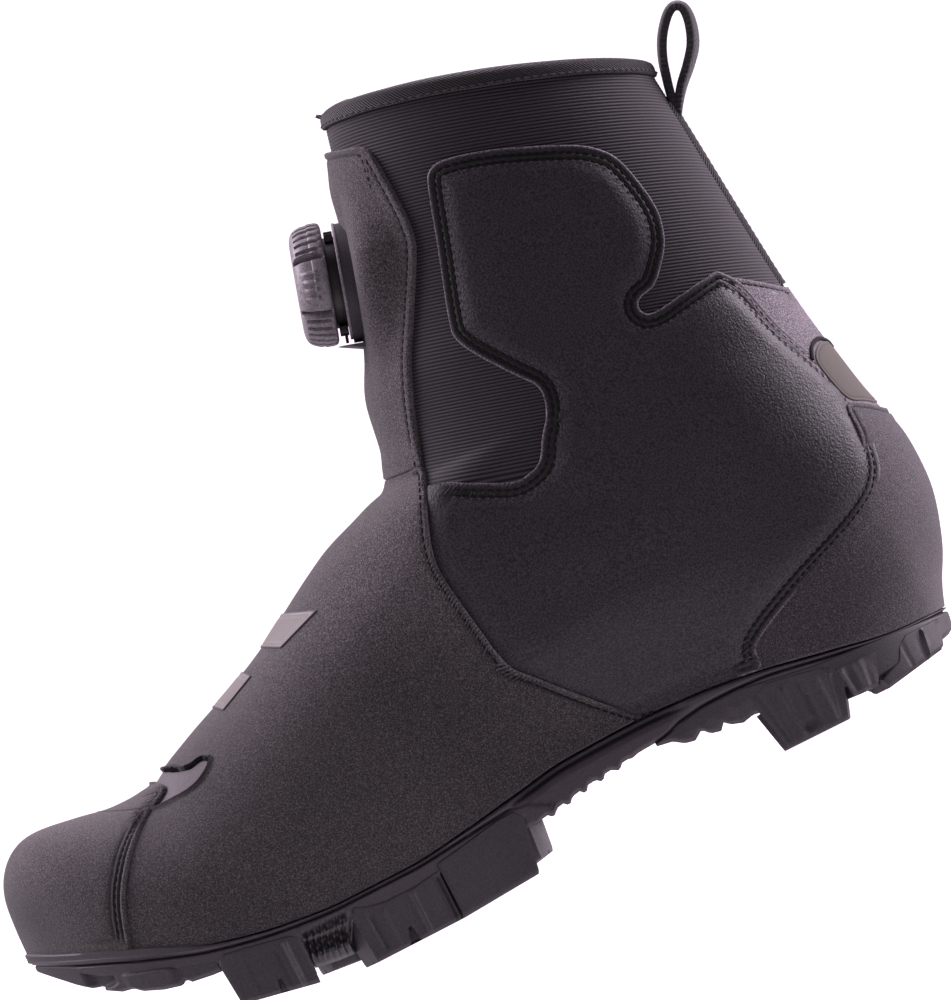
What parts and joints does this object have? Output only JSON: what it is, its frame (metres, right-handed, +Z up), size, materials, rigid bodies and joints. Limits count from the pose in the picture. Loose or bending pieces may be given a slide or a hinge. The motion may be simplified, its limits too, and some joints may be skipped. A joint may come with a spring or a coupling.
{
  "type": "cycling shoe",
  "caption": "High winter cycling shoe for the right foot, with a lace dial on its front flap, a pull loop at the heel and a lugged sole with a cleat pad.",
  "frame": {"origin": "middle of the shoe's box in plan, on the floor that its lugs stand on", "axes": "+X from heel to toe, +Y towards the medial side, +Z up"},
  "size_m": [0.3015, 0.108, 0.2311],
  "materials": {
    "ribbed_fabric": "matte ribbed stretch fabric",
    "rubberised_fabric": "matte grained coating",
    "webbing": "matte twill webbing",
    "nylon": "satin",
    "rubber": "matte",
    "felt": "matte felt",
    "dial_grey": "satin",
    "dial_black": "satin"
  },
  "bodies": {
    "root": {"upper": "ribbed_fabric", "toe_cap": "rubberised_fabric", "heel_counter": "rubberised_fabric", "front_flap": "rubberised_fabric", "collar_binding": "webbing", "back_strap": "webbing", "pull_loop": "webbing", "insole": "felt", "sole_plate": "nylon", "cleat_pad": "nylon", "toe_tread": "rubber", "heel_tread": "rubber", "lug_forefoot_medial_1": "rubber", "lug_forefoot_medial_2": "rubber", "lug_forefoot_medial_3": "rubber", "lug_forefoot_lateral_1": "rubber", "lug_forefoot_lateral_2": "rubber", "lug_forefoot_lateral_3": "rubber", "lug_forefoot_lateral_4": "rubber", "lug_heel_medial_1": "rubber", "lug_heel_lateral_1": "rubber", "lug_heel_medial_2": "rubber", "lug_heel_lateral_2": "rubber", "lug_heel_medial_3": "rubber", "lug_heel_lateral_3": "rubber", "dial_pad": "dial_grey", "dial_flange": "dial_grey", "dial_neck": "dial_black", "dial_knob": "dial_grey", "lace_guide": "dial_black", "lace_medial": "webbing", "lace_lateral": "webbing"}
  },
  "joints": []
}
